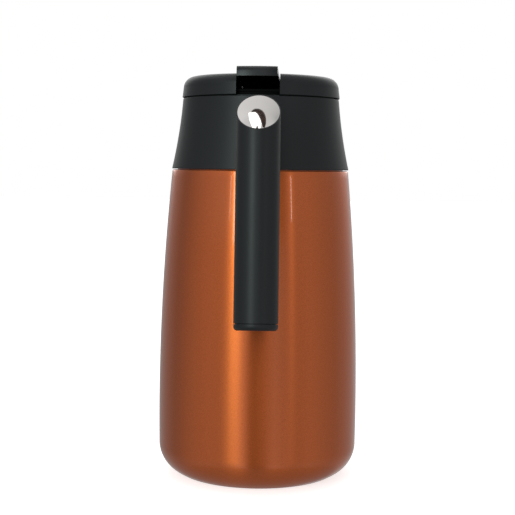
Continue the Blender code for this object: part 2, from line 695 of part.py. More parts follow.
def handle_cap():
    """The domed chrome disc in the handle's mitred corner, with the spigot that holds it."""
    rim_r = GRIP_R - CAP_RIM - 0.25
    dome = [(rim_r * cos(radians(a)), CAP_CROWN * sin(radians(a)) - 0.1) for a in (8, 28, 48, 68)]
    section = [(0.0, -1.1), (rim_r, -1.1), (rim_r, -0.1), *dome, (0.0, CAP_CROWN - 0.1)]
    oval_disc = oval(turned(section, SMALL_ROUND))
    obj = add_object("handle_cap", oval_disc, "chrome", mitre_axes())
    spigot = oval(turned(disc_section(8.6, -4.5, -0.6, 7.2), SMALL_ROUND))
    return join(obj, spigot, "UNION", mitre_axes())


def handle_end_plug():
    top = -GRIP_LENGTH - PLUG_GAP
    bottom = top - END_T
    section = [(0.0, bottom), (GRIP_R - 2.2, bottom)]
    section += arc((GRIP_R - 2.2, bottom + 2.2), 2.2, -67.5, 0.0, 3)
    section += [(GRIP_R, top), (GRIP_BORE_R - GAP, top), (GRIP_BORE_R - GAP, top + 8.0)]
    section += [(GRIP_BORE_R - 2.0, top + 8.0), (GRIP_BORE_R - 2.0, top), (0.0, top)]
    turned_object("handle_end_plug", section, "charcoal_plastic", SMALL_ROUND, handle_axes())


def handle_fixing():
    """The bolt through the arm, its washer, and the brass insert in the collar's boss."""
    arm = handle_axes(along_arm=True)
    wall = arm_wall_start()
    turned_object(
        "bolt_washer",
        disc_section(BOLT_HEAD_R + 1.2, wall - 1.3, wall - GAP, BOLT_R + 0.3),
        "steel",
        FINE_ROUND,
        arm,
    )
    head = wall - 1.3 - GAP
    bolt = [(0.0, head - 4.6), (BOLT_HEAD_R - 0.5, head - 4.6), (BOLT_HEAD_R, head - 4.1)]
    bolt += [(BOLT_HEAD_R, head), (BOLT_R, head), (BOLT_R, 48.0), (0.0, 48.0)]
    obj = turned_object("handle_bolt", bolt, "steel", FINE_ROUND, arm)
    join(obj, rod(2.3, head - 6.0, head - 1.6, 6), matrix=arm)
    insert = disc_section(4.0, 44.2, 49.2, BOLT_R + 0.15)
    turned_object("collar_insert", insert, "brass", FINE_ROUND, arm)


LID_PIECES = (
    "stopper_gasket",
    "stopper_body",
    "lid_cover",
    "lever_tray",
    "tray_screw_1",
    "tray_screw_2",
    "tray_screw_3",
    "tray_screw_4",
    "lever_pin",
    "stem_seal",
    "valve_spring",
)
VALVE_PIECES = ("valve_button", "valve_stem", "valve_plate", "valve_seal")


def turn_with_lid(objects):
    """Turns the lid's pieces, and what shapes them, to the lid's closed place."""
    turn = Matrix.Rotation(LID_TURN, 4, "Z")
    for obj in objects:
        obj.matrix_world = turn @ obj.matrix_world


def joint_empty(name, x, y, z, pieces, parent=None):
    """An empty on a joint's axis that carries the pieces which move about it."""
    axes = Matrix.Rotation(LID_TURN, 4, "Z") @ place(x, y, z)
    empty = bpy.data.objects.new(name, None)
    empty.empty_display_size = 10.0 * MM
    bpy.context.scene.collection.objects.link(empty)
    empty.matrix_world = axes
    carried = [bpy.data.objects[piece] for piece in pieces]
    for obj in carried:
        obj.parent = empty
        obj.matrix_parent_inverse = axes.inverted()
    if parent:
        empty.parent = parent
        empty.matrix_parent_inverse = parent.matrix_world.inverted()
    return empty


def add_joints():
    lid = joint_empty("lid_axis", 0.0, 0.0, LID_BOTTOM_Z, LID_PIECES)
    joint_empty("lever_axis", 0.0, PIVOT_Y, PIVOT_Z, ("lever",), lid)
    joint_empty("valve_axis", 0.0, 0.0, BUTTON_TOP_Z, VALVE_PIECES, lid)


def main():
    clear_scene()
    outer_shell()
    inner_liner()
    base_parts()
    collar()
    pour_channel()
    neck_sleeve()
    neck_gasket()
    handle_grip()
    handle_cap()
    handle_end_plug()
    handle_fixing()
    jug = set(bpy.data.objects)
    stopper_body()
    stopper_gasket()
    lid_cover()
    lever_tray()
    tray_screws()
    lever()
    lever_pin()
    valve_parts()
    valve_spring()
    turn_with_lid(set(bpy.data.objects) - jug)
    add_joints()
    bpy.context.view_layer.update()


main()
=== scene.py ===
"""Looks of the vacuum carafe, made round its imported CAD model.

Lengths are millimetres unless a name ends in _M. Sections are (r, z) points, outlines (y, z) points.
"""

from math import atan2, cos, exp, hypot, pi, radians, sin, sqrt, tan

import bmesh
import bpy
from mathutils import Matrix, Quaternion, Vector


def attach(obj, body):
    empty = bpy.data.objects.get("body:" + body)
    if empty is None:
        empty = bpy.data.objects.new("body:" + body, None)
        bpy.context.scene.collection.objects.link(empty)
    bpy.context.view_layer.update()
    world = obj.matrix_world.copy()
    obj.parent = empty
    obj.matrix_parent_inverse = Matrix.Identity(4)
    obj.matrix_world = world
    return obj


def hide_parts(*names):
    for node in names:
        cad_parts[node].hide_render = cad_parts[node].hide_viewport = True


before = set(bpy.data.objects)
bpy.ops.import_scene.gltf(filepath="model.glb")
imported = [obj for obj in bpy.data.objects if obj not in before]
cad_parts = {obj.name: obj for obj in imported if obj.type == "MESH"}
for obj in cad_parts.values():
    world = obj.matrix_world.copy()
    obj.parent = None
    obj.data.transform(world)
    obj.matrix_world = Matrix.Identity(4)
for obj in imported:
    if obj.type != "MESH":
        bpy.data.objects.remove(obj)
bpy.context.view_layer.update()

MM = 0.001

# Facets round a turned piece
AROUND = 256  # body, lid and pad's grooves
AROUND_COLLAR = 288
AROUND_VESSEL = 192  # vessel and lever's form
AROUND_RING = 160  # pad, chrome disc and plug's seal
AROUND_PLUG = 144  # sleeve and stopper
AROUND_BAR = 96  # handle and valve
AROUND_SMALL = 64  # holes

SHARP_AFTER_BEVEL = 50.0  # degrees between faces that stay a sharp edge on a bevelled piece
SHARP_ON_CAD = 35.0

# Steel body
BODY_R = 63.44
WIDEST_Z = 42.0
BARREL_R = 1541.0
FOOT_R = 20.1
FOOT_TOP_Z = 19.7
FOOT_TURN = 58.9
FOOT_FLAT_R = 50.0
FOOT_Z = 0.5
FOOT_BEND_R = 1.3
SHELL_TOP_Z = 194.2
SHELL_TOP_BEND_R = 0.8
SHELL_T = 0.6
FLANGE_R = 45.2
FLANGE_TOP_Z = 6.0
SHOULDER_R = 52.6
SHOULDER_BEND_R = 8.0
NECK_BEND_R = 5.0
NECK_R = 38.7
NECK_Z = 209.0
LIP_Z = 219.0
VACUUM_GAP = 5.0
VESSEL_FLOOR_Z = 12.5
VESSEL_DOME = 1.9  # fall of the vessel's floor from its middle to VESSEL_DOME_R
VESSEL_DOME_R = 36.0
VESSEL_HEEL_R = 14.0
VESSEL_HEEL_Z = 24.0
VESSEL_SHOULDER_R = 36.6
VESSEL_SHOULDER_Z = 180.0
MOUTH_R = 34.6
MOUTH_Z = 203.0
PAD_R = 43.6
PAD_T = 2.7
PAD_GROOVES_R = (36.0, 20.0)
PAD_GROOVE_W = 1.2
PAD_GROOVE_DEPTH = 0.5

# Collar
COLLAR_BOTTOM_Z = 194.7
COLLAR_TOP_Z = 239.0
COLLAR_BOTTOM_R = 56.25
COLLAR_TOP_R = 49.4
COLLAR_FLARE_R = 300.0
COLLAR_T = 2.6
COLLAR_EDGE_R = 0.55
DECK_STEP_R = 42.3
DECK_STEP = 1.9
DECK_T = 2.6
BEAD_R = 47.6
BEAD_W = 1.2
BEAD_GAP = 0.12  # between the bead, which closes the seam, and the lid
SPOUT_REACH = 11.0
SPOUT_SPREAD = radians(18.0)
SPOUT_START_Z = 203.0
SPOUT_CURVE = 1.7
SLOT_HALF_W = 6.6
CHANNEL_FLOOR_Z = 227.0
CHANNEL_LIP_Z = 236.4

# Sleeve and plug
GAP = 0.3
SLEEVE_R = 36.0
SLEEVE_OUT_R = 39.0
SKIRT_OUT_R = 41.5
SKIRT_BOTTOM_Z = 209.5
PLUG_R = 34.6
PLUG_T = 2.2
PLUG_TIP_R = 32.6
PLUG_BOTTOM_Z = 208.2
THREAD_REACH = 1.0
THREAD_BACKING = 0.7  # how far a ridge starts inside its wall
THREAD_STEPS = 48
THREAD_FADE = 0.08  # share of a ridge's length at each end where it rises
THREAD_W = 1.6
THREAD_LEAD = 20.0
THREAD_STARTS = 3
THREAD_ARC = radians(65.0)
THREAD_Z = 227.5
THREAD_DROP = 2.2
FLANGE_T = 1.6

# Lid
LID_BOTTOM_Z = 239.6
LID_TOP_Z = 253.0
LID_R = 49.9
LID_ROUND_R = 7.0
LID_EDGE_R = LID_R - 0.7 - LID_ROUND_R  # where the crowned top meets the edge rounding
LID_EDGE_Z = LID_TOP_Z - 0.5
LID_T = 2.2
LID_TURN = radians(-1.6)
TURNED_BODIES = ("lid", "lever")
NOTCH_HALF_W = 13.15
NOTCH_ROOF_Z = 249.0
NOTCH_INNER_Y = -20.0
NOTCH_PAST_PIVOT = 6.0
TRAY_Z = 241.5
TRAY_R = 46.6
CLEAR_Y = -60.0  # past the lid's edge
CLEAR_Z = 260.0  # over the lever

# Lever
LEVER_HALF_W = 12.25
LEVER_SIDE_X = -0.6
LEVER_TOP_Z = 256.5
LIP_BOTTOM_Z = 250.5
LIP_R = 50.6
LIP_DEPTH = 3.6
PIVOT_Y = 22.0
PIVOT_Z = 247.2
PIN_R = 1.5
PIN_GAP = 0.1
HUB_R = 3.3
NOSE_REACH = 4.6  # of the lever's end past the pivot
NOSE_TOP_Z = 251.9
NOSE_BOTTOM_Z = 249.4
BUTTON_TOP_Z = 248.0
STEM_R = 2.5
PORT_R = 9.5
VALVE_R = 13.0

# Handle
CORNER_Y = -92.0
CORNER_Z = 227.2
HANDLE_TILT = radians(8.0)
MITRE_SLOPE = 0.94  # rise over run of the cut across the corner
GRIP_R = 12.5
GRIP_BORE_R = 9.6
GRIP_LENGTH = 118.7
BORE_DEPTH = 12.0
ARM_LENGTH = 44.0
END_T = 3.6
END_BEND_R = 2.2
END_EDGE_R = 0.25
END_INSET = 0.05  # keeps the round end inside the CAD model's box
END_NECK_LENGTH = 8.0
PLUG_GAP = 0.4
SHOULDER_INSET = 0.9  # of the shoulder that closes the plug's seam
CAP_RIM = 0.45
CAP_GAP = 0.12
CAP_POCKET = 1.4
CAP_BACK_Z = -1.1
DOME_START = 32  # degrees up the dome's arc at the disc's edge
DOME_STEP = 3
DOME_RISE = 2.502  # of the whole arc, so that the disc's crown is lower


# ---------------------------------------------------------------- outlines and meshes


def spaced(first, last, steps):
    """Evenly spaced numbers, both ends included."""
    return [first + (last - first) * i / steps for i in range(steps + 1)]


def arc(centre, radius, start, end, steps):
    """Points along an arc; the angles are degrees from the first axis towards the second."""
    turns = [radians(a) for a in spaced(start, end, steps)]
    return [(centre[0] + radius * cos(a), centre[1] + radius * sin(a)) for a in turns]


def walled(profile, thickness):
    """A closed section: the profile, and its copy moved to the left of its run by the sheet's thickness."""
    steps = [(b[0] - a[0], b[1] - a[1]) for a, b in zip(profile, profile[1:])]
    lefts = [Vector((-dz, dr)).normalized() for dr, dz in steps]
    moved = []
    for i, (r, z) in enumerate(profile):
        before, after = lefts[max(i - 1, 0)], lefts[min(i, len(lefts) - 1)]
        shift = (before + after) * (thickness / (1.0 + before.dot(after)))
        moved.append((0.0 if r == 0 else r + shift.x, z + shift.y))
    return [*profile, *reversed(moved)]


def softened(outline, radius, steps=3, sharpest=25.0):
    """The closed outline with a small fillet on each corner that turns by more than sharpest degrees.

    A fillet takes up less than half of either side, and points on the axis stay.
    """
    made = []
    count = len(outline)
    for i, point in enumerate(outline):
        here = Vector(point)
        before, after = Vector(outline[i - 1]) - here, Vector(outline[(i + 1) % count]) - here
        if before.length < 1e-6 or after.length < 1e-6 or point[0] == 0.0:
            made.append(point)
            continue
        opening = before.angle(after)
        if pi - opening < radians(sharpest):
            made.append(point)
            continue
        slope = max(0.2, abs(sin(opening / 2.0) / max(cos(opening / 2.0), 0.05)))
        reach = min(radius / slope, 0.42 * before.length, 0.42 * after.length)
        start, end = here + before.normalized() * reach, here + after.normalized() * reach
        for k in range(steps + 1):
            t = k / steps
            bend = start * (1 - t) ** 2 + here * 2 * t * (1 - t) + end * t**2
            made.append((bend.x, bend.y))
    return made


def turned(section, segments=AROUND):
    """A bmesh of a closed (r, z) outline turned about Z."""
    bm = bmesh.new()
    columns = []
    for i in range(segments):
        a = 2.0 * pi * i / segments
        columns.append([bm.verts.new((r * cos(a), r * sin(a), z)) for r, z in section])
    count = len(section)
    for i, left in enumerate(columns):
        right = columns[(i + 1) % segments]
        for k in range(count):
            n = (k + 1) % count
            if section[k][0] > 0.0 or section[n][0] > 0.0:
                bm.faces.new((left[k], right[k], right[n], left[n]))
    bmesh.ops.remove_doubles(bm, verts=bm.verts, dist=1e-5)
    return bm


def disc_section(radius, bottom, top, hole=0.0):
    """The section of a flat disc, or of a flat ring round a hole."""
    return [(hole, bottom), (radius, bottom), (radius, top), (hole, top)]


def rod(radius, bottom, top, segments=AROUND_SMALL):
    """A bmesh of a round bar along Z."""
    return turned(disc_section(radius, bottom, top), segments)


def prism(outline, half_width):
    """A bmesh of a (y, z) outline extruded to both sides along X."""
    bm = bmesh.new()
    face = bm.faces.new([bm.verts.new((-half_width, y, z)) for y, z in outline])
    made = bmesh.ops.extrude_face_region(bm, geom=[face])
    moved = [v for v in made["geom"] if isinstance(v, bmesh.types.BMVert)]
    bmesh.ops.translate(bm, vec=(2.0 * half_width, 0.0, 0.0), verts=moved)
    return bm


def slab(half_width, y0, y1, z0, z1):
    """A bmesh of a plain block that is centred on X."""
    return prism([(y0, z0), (y1, z0), (y1, z1), (y0, z1)], half_width)


def place(x=0.0, y=0.0, z=0.0, rotation=None):
    """A matrix in metres that moves by millimetres, after the rotation if there is one."""
    move = Matrix.Translation(Vector((x, y, z)) * MM)
    return move @ rotation if rotation else move


def new_object(name, bm, matrix=None):
    """An object from a bmesh in millimetres; the matrix goes into its mesh."""
    bmesh.ops.scale(bm, vec=(MM, MM, MM), verts=bm.verts)
    if matrix is not None:
        bmesh.ops.transform(bm, matrix=matrix, verts=bm.verts)
    bmesh.ops.recalc_face_normals(bm, faces=bm.faces)
    mesh = bpy.data.meshes.new(name)
    bm.to_mesh(mesh)
    bm.free()
    obj = bpy.data.objects.new(name, mesh)
    bpy.context.scene.collection.objects.link(obj)
    return obj


def settle(obj):
    """Turns an object's modifiers into its mesh."""
    graph = bpy.context.evaluated_depsgraph_get()
    graph.update()
    made = bpy.data.meshes.new_from_object(obj.evaluated_get(graph))
    obj.modifiers.clear()
    old = obj.data
    obj.data = made
    bpy.data.meshes.remove(old)


def carve(obj, tools):
    """Applies (bmesh, operation, matrix) tools to obj one after another."""
    for i, (bm, operation, matrix) in enumerate(tools):
        tool = new_object(f"{obj.name}_tool_{i}", bm, matrix)
        boolean = obj.modifiers.new("boolean", "BOOLEAN")
        boolean.operation = operation
        boolean.solver = "EXACT"
        boolean.object = tool
        settle(obj)
        bpy.data.objects.remove(tool)


def finish_piece(obj, body, nodes, material, bevel=0.0, sharp=30.0, bevel_steps=3):
    """Rounds the edges, shades the piece, gives it its material and lets it ride in place of its CAD nodes.

    The bevel is in millimetres. Edges that turn by more than sharp, in degrees, are rounded or stay sharp.
    """
    if bevel:
        rounding = obj.modifiers.new("edges", "BEVEL")
        rounding.width = bevel * MM
        rounding.segments = bevel_steps
        rounding.limit_method = "ANGLE"
        rounding.angle_limit = radians(sharp)
        rounding.use_clamp_overlap = True
        settle(obj)
    obj.data.shade_smooth()
    obj.data.set_sharp_from_angle(angle=radians(SHARP_AFTER_BEVEL if bevel else sharp))
    if bevel:
        weighted = obj.modifiers.new("normals", "WEIGHTED_NORMAL")
        weighted.keep_sharp = True
        settle(obj)
    obj.data.materials.clear()
    obj.data.materials.append(material)
    if body in TURNED_BODIES:
        obj.data.transform(Matrix.Rotation(LID_TURN, 4, "Z"))
    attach(obj, body)
    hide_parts(*nodes)


# ---------------------------------------------------------------- materials


NOISE_LOW, NOISE_HIGH = 0.3, 0.7  # the range that most of a noise falls in
GRAIN_M = 0.00002  # heights of the bumps
LINES_M = 0.00001


class Nodes:
    """A short way to add and join shader nodes."""

    def __init__(self, name):
        self.material = bpy.data.materials.new(name)
        self.material.use_nodes = True
        self.tree = self.material.node_tree
        self.shader = self.tree.nodes["Principled BSDF"]

    def add(self, kind, **settings):
        node = self.tree.nodes.new(kind)
        for key, value in settings.items():
            if key in node.inputs.keys():
                node.inputs[key].default_value = value
            else:
                setattr(node, key, value)
        return node

    def join(self, source, target):
        self.tree.links.new(source, target)

    def drive(self, key, source):
        """Joins a node's output to one of the shader's inputs."""
        self.join(source, self.shader.inputs[key])

    def set(self, **values):
        """Sets the shader's own inputs."""
        for key, value in values.items():
            self.shader.inputs[key.replace("_", " ")].default_value = value

    def position(self, stretch=(1.0, 1.0, 1.0)):
        """Object coordinates, stretched."""
        coordinates = self.add("ShaderNodeTexCoord")
        mapping = self.add("ShaderNodeMapping")
        mapping.inputs["Scale"].default_value = stretch
        self.join(coordinates.outputs["Object"], mapping.inputs["Vector"])
        return mapping.outputs["Vector"]

    def noise(self, scale, detail=2.0, rough=0.5, stretch=(1.0, 1.0, 1.0)):
        node = self.add("ShaderNodeTexNoise", Scale=scale, Detail=detail, Roughness=rough)
        self.join(self.position(stretch), node.inputs["Vector"])
        return node.outputs["Fac"]

    def spread(self, value, low, high):
        """Stretches a noise to run from low to high."""
        node = self.add("ShaderNodeMapRange")
        ends = (("From Min", NOISE_LOW), ("From Max", NOISE_HIGH), ("To Min", low), ("To Max", high))
        for key, number in ends:
            node.inputs[key].default_value = number
        self.join(value, node.inputs["Value"])
        return node.outputs["Result"]

    def mixed(self, factor, first, second):
        node = self.add("ShaderNodeMix", data_type="RGBA")
        node.inputs["A"].default_value = (*first, 1.0)
        node.inputs["B"].default_value = (*second, 1.0)
        self.join(factor, node.inputs["Factor"])
        return node.outputs["Result"]

    def bump(self, height, distance_m, strength):
        node = self.add("ShaderNodeBump", Distance=distance_m, Strength=strength)
        self.join(height, node.inputs["Height"])
        self.drive("Normal", node.outputs["Normal"])


def copper_lacquer():
    """Fine metal flake whose sheen is drawn out round the body, under a clear glossy coat."""
    n = Nodes("copper_lacquer")
    flake = n.noise(2600.0, detail=1.0)
    cloud = n.noise(9.0, detail=3.0, stretch=(1.0, 1.0, 0.35))
    flaked = n.mixed(n.spread(flake, 0.0, 1.0), (0.70, 0.142, 0.026), (0.87, 0.196, 0.040))
    n.drive("Base Color", flaked)
    n.drive("Roughness", n.spread(cloud, 0.29, 0.33))
    around = n.add("ShaderNodeTangent", direction_type="RADIAL", axis="Z")
    n.drive("Tangent", around.outputs["Tangent"])
    n.set(Metallic=1.0, Anisotropic=0.9, Anisotropic_Rotation=0.25)
    n.set(Coat_Weight=0.9, Coat_Roughness=0.05, Coat_IOR=1.5)
    return n.material


def moulded(name, colour, roughness, specular=0.5):
    """Satin moulded plastic with the fine grain of its tool and a slightly uneven gloss."""
    n = Nodes(name)
    shade = n.noise(14.0, detail=3.0)
    darker = tuple(c * 0.9 for c in colour)
    n.drive("Base Color", n.mixed(n.spread(shade, 0.0, 1.0), darker, colour))
    n.drive("Roughness", n.spread(shade, roughness - 0.025, roughness + 0.025))
    n.bump(n.noise(2200.0), GRAIN_M, 0.6)
    n.set(Specular_IOR_Level=specular)
    return n.material


def chrome():
    """Polished chrome with a slight haze."""
    n = Nodes("chrome")
    haze = n.noise(60.0, detail=3.0)
    n.drive("Roughness", n.spread(haze, 0.02, 0.05))
    n.drive("Base Color", n.mixed(haze, (0.90, 0.87, 0.84), (0.94, 0.91, 0.88)))
    n.set(Metallic=1.0)
    return n.material


def steel():
    """Steel with the fine lines round it that turning and polishing leave."""
    n = Nodes("steel")
    brushed = n.noise(70.0, detail=6.0, rough=0.7, stretch=(1.0, 1.0, 60.0))
    n.drive("Base Color", n.mixed(brushed, (0.50, 0.50, 0.49), (0.66, 0.66, 0.65)))
    n.drive("Roughness", n.spread(brushed, 0.21, 0.33))
    n.bump(brushed, LINES_M, 0.5)
    n.set(Metallic=1.0)
    return n.material


def soft_material(name, colour, roughness, transmission=0.0):
    """Rubber or silicone, matt and slightly clouded."""
    n = Nodes(name)
    cloud = n.noise(120.0, detail=3.0)
    n.drive("Base Color", n.mixed(cloud, tuple(c * 0.85 for c in colour), colour))
    n.drive("Roughness", n.spread(cloud, roughness - 0.05, roughness + 0.05))
    n.bump(n.noise(900.0), GRAIN_M, 0.5)
    n.set(Transmission_Weight=transmission)
    return n.material


def brass():
    """Brass with the fine lines of its turning."""
    n = Nodes("brass")
    lines = n.noise(60.0, detail=5.0, stretch=(1.0, 60.0, 1.0))
    n.drive("Base Color", n.mixed(lines, (0.50, 0.33, 0.10), (0.66, 0.46, 0.17)))
    n.drive("Roughness", n.spread(lines, 0.22, 0.34))
    n.set(Metallic=1.0)
    return n.material


CHARCOAL_COLOUR = (0.0080, 0.0115, 0.0135)

COPPER = copper_lacquer()
CHARCOAL = moulded("charcoal_plastic", CHARCOAL_COLOUR, 0.42)
LEVER_CHARCOAL = moulded("lever_charcoal_plastic", CHARCOAL_COLOUR, 0.32)
# Painted shade: the stopper, lever tray and valve button are dark plastic made almost black, with their
# reflection turned down, so the shadowed recess under the lever shows black
RECESS_PAINTED_SHADE = moulded("black_plastic", (0.0016, 0.0017, 0.0018), 0.62, specular=0.1)
INNER_BLACK = moulded("inner_black_plastic", (0.009, 0.009, 0.0095), 0.5)
CHROME = chrome()
STEEL = steel()
SILICONE = soft_material("silicone", (0.42, 0.42, 0.41), 0.5, 0.15)
RUBBER = soft_material("black_rubber", (0.012, 0.012, 0.012), 0.75)
BRASS = brass()


# ---------------------------------------------------------------- body


def body_radius(z):
    """The body's slightly barrelled side."""
    return BODY_R - BARREL_R + sqrt(BARREL_R**2 - (z - WIDEST_Z) ** 2)


def make_shell():
    foot_centre = (body_radius(FOOT_TOP_Z) - FOOT_R, FOOT_TOP_Z)
    top_r = body_radius(SHELL_TOP_Z)
    side = spaced(FOOT_TOP_Z, SHELL_TOP_Z - SHELL_TOP_BEND_R - 0.1, 48)[1:]
    profile = [(FLANGE_R, FLANGE_TOP_Z), (FLANGE_R, FOOT_Z + FOOT_BEND_R + 0.1)]
    profile += arc((FLANGE_R + FOOT_BEND_R, FOOT_Z + FOOT_BEND_R), FOOT_BEND_R, 180.0, 270.0, 4)
    profile += [(FOOT_FLAT_R - 0.4, FOOT_Z), (FOOT_FLAT_R + 0.1, FOOT_Z + 0.06)]
    profile += [(FOOT_FLAT_R + 0.6, FOOT_Z + 0.27)]
    profile += arc(foot_centre, FOOT_R, -FOOT_TURN, 0.0, 24)
    profile += [(body_radius(z), z) for z in side]
    top_bend = (top_r - SHELL_TOP_BEND_R, SHELL_TOP_Z - SHELL_TOP_BEND_R)
    profile += arc(top_bend, SHELL_TOP_BEND_R, 20.0, 90.0, 4)
    profile += [(SHOULDER_R, SHELL_TOP_Z)]
    profile += arc((SHOULDER_R - SHOULDER_BEND_R, SHELL_TOP_Z + 2.0), SHOULDER_BEND_R, 0.0, 60.0, 8)
    profile += arc((NECK_R + NECK_BEND_R, NECK_Z), NECK_BEND_R, -130.0, -180.0, 8)
    profile += [(NECK_R, LIP_Z - SHELL_T - GAP)]
    obj = new_object("body_shell", turned(walled(profile, SHELL_T)))
    finish_piece(obj, "jug", ["outer_shell"], COPPER, sharp=40.0)


def make_liner():
    inset = SHELL_T + VACUUM_GAP
    side = spaced(VESSEL_HEEL_Z, VESSEL_SHOULDER_Z, 30)
    side_r = [body_radius(z) - inset for z in side]
    heel = (side_r[0] - VESSEL_HEEL_R, VESSEL_HEEL_Z)
    shoulder = (VESSEL_SHOULDER_R, VESSEL_SHOULDER_Z)
    profile = [(0.0, VESSEL_FLOOR_Z)]
    profile += [(r, VESSEL_FLOOR_Z - VESSEL_DOME * (r / VESSEL_DOME_R) ** 1.5) for r in range(6, 37, 6)]
    profile += arc(heel, VESSEL_HEEL_R, -72.0, 0.0, 14)
    profile += list(zip(side_r, side))[1:]
    profile += arc(shoulder, side_r[-1] - VESSEL_SHOULDER_R, 6.0, 60.0, 10)
    profile += [(MOUTH_R, MOUTH_Z), (MOUTH_R, LIP_Z - SHELL_T), (NECK_R, LIP_Z - SHELL_T)]
    obj = new_object("vessel", turned(walled(profile, SHELL_T), AROUND_VESSEL))
    finish_piece(obj, "jug", ["inner_liner"], STEEL, sharp=40.0)


def make_pad():
    outline = [(0.0, 0.0), (PAD_R - 1.5, 0.0), (PAD_R, 1.0), (PAD_R, PAD_T), (0.0, PAD_T)]
    obj = new_object("foot_pad", turned(softened(outline, 0.5), AROUND_RING))
    grooves = [disc_section(r + PAD_GROOVE_W, -1.0, PAD_GROOVE_DEPTH, r) for r in PAD_GROOVES_R]
    carve(obj, [(turned(groove), "DIFFERENCE", None) for groove in grooves])
    finish_piece(obj, "jug", ["base_pad"], RUBBER, bevel=0.15)


# ---------------------------------------------------------------- collar and neck


def collar_radius(z):
    """The collar's flared side, before the spout is drawn out of it."""
    drop = COLLAR_TOP_Z - z
    full = COLLAR_TOP_Z - COLLAR_BOTTOM_Z
    slope = (COLLAR_BOTTOM_R - COLLAR_TOP_R) / full - full / (2.0 * COLLAR_FLARE_R)
    return COLLAR_TOP_R + slope * drop + drop**2 / (2.0 * COLLAR_FLARE_R)


def spout_pull(x, y, z):
    """How far the spout draws a point of the collar outwards."""
    rise = max(0.0, (z - SPOUT_START_Z) / (COLLAR_TOP_Z - SPOUT_START_Z))
    return SPOUT_REACH * rise**SPOUT_CURVE * exp(-((atan2(x, y) / SPOUT_SPREAD) ** 2))


def make_collar():
    outside = [(collar_radius(z), z) for z in spaced(COLLAR_BOTTOM_Z, COLLAR_TOP_Z, 36)]
    deck_z = COLLAR_TOP_Z - DECK_STEP
    bead_top_z = LID_BOTTOM_Z - BEAD_GAP
    deck = [(BEAD_R, COLLAR_TOP_Z), (BEAD_R, bead_top_z)]
    deck += [(BEAD_R - BEAD_W, bead_top_z), (BEAD_R - BEAD_W, COLLAR_TOP_Z)]
    deck += [(DECK_STEP_R, COLLAR_TOP_Z), (DECK_STEP_R, deck_z)]
    deck += [(SLEEVE_OUT_R + GAP, deck_z), (SLEEVE_OUT_R + GAP, deck_z - DECK_T)]
    inside = [(collar_radius(z) - COLLAR_T, z) for z in spaced(deck_z - DECK_T, COLLAR_BOTTOM_Z, 12)]
    section = softened(outside + deck + inside, COLLAR_EDGE_R, steps=4, sharpest=30.0)
    bm = turned(section, AROUND_COLLAR)
    for v in bm.verts:
        # The bead and the deck stay round: the lid closes on the one, and the sleeve sits in the other.
        still_r = BEAD_R + 0.3 if v.co.z > COLLAR_TOP_Z - 1.0 else DECK_STEP_R + 1.0
        if hypot(v.co.x, v.co.y) > still_r:
            pull = spout_pull(v.co.x, v.co.y, v.co.z)
            v.co += Vector((v.co.x, v.co.y, 0.0)).normalized() * pull
    obj = new_object("collar_moulding", bm)
    inner, outer = SLEEVE_R - 3.0, COLLAR_TOP_R + SPOUT_REACH + 6.0
    tip, tip_z = COLLAR_TOP_R + SPOUT_REACH - COLLAR_T, CHANNEL_LIP_Z - 0.8
    slot = [(inner, CHANNEL_FLOOR_Z - GAP), (tip, tip_z), (outer, tip_z + 0.2)]
    slot += [(outer, LID_TOP_Z), (inner, LID_TOP_Z)]
    carve(obj, [(prism(slot, SLOT_HALF_W), "DIFFERENCE", None)])
    finish_piece(obj, "jug", ["collar"], CHARCOAL, sharp=40.0)


def ridge(radius, reach, start, bottom_z):
    """A bmesh of one thread ridge that fades at both ends; a negative reach points inwards."""
    root = radius - THREAD_BACKING if reach > 0 else radius + THREAD_BACKING
    crest_half = THREAD_W * 0.25
    bm = bmesh.new()
    rings = []
    for t in spaced(0.0, 1.0, THREAD_STEPS):
        angle = start + THREAD_ARC * t
        z = bottom_z + THREAD_LEAD * THREAD_ARC / (2.0 * pi) * t
        fade = min(1.0, t / THREAD_FADE, (1.0 - t) / THREAD_FADE)
        crest = radius + reach * sqrt(max(0.0, fade * (2.0 - fade)))
        corners = [
            (root, z - THREAD_W / 2.0),
            (crest, z - crest_half),
            (crest, z + crest_half),
            (root, z + THREAD_W / 2.0),
        ]
        rings.append([bm.verts.new((r * cos(angle), r * sin(angle), h)) for r, h in corners])
    for a, b in zip(rings, rings[1:]):
        for i in range(4):
            j = (i + 1) % 4
            bm.faces.new((a[i], a[j], b[j], b[i]))
    bm.faces.new(rings[0][::-1])
    bm.faces.new(rings[-1])
    return bm


def ridges(radius, reach, bottom_z, first_angle):
    """The carving tools that add a thread's ridges, evenly spaced."""
    starts = [first_angle + 2.0 * pi * i / THREAD_STARTS for i in range(THREAD_STARTS)]
    return [(ridge(radius, reach, s, bottom_z), "UNION", None) for s in starts]


def make_sleeve():
    section = [
        (SLEEVE_R, LIP_Z + 2.0),
        (SLEEVE_R, COLLAR_TOP_Z - 0.2),
        (DECK_STEP_R - GAP, COLLAR_TOP_Z - 0.2),
        (DECK_STEP_R - GAP, COLLAR_TOP_Z - 1.6),
        (SLEEVE_OUT_R, COLLAR_TOP_Z - 1.6),
        (SLEEVE_OUT_R, LIP_Z + 3.0),
        (SKIRT_OUT_R, LIP_Z + 1.0),
        (SKIRT_OUT_R, SKIRT_BOTTOM_Z),
        (NECK_R + 0.4, SKIRT_BOTTOM_Z),
        (NECK_R + 0.4, LIP_Z + 2.0),
    ]
    obj = new_object("threaded_sleeve", turned(section, AROUND_PLUG))
    tools = ridges(SLEEVE_R, -THREAD_REACH, THREAD_Z, radians(120.0))
    window = slab(SLOT_HALF_W, 30.0, 46.0, CHANNEL_FLOOR_Z - GAP, LID_TOP_Z)
    carve(obj, tools + [(window, "DIFFERENCE", None)])
    finish_piece(obj, "jug", ["neck_sleeve"], INNER_BLACK, bevel=0.2)


# ---------------------------------------------------------------- handle


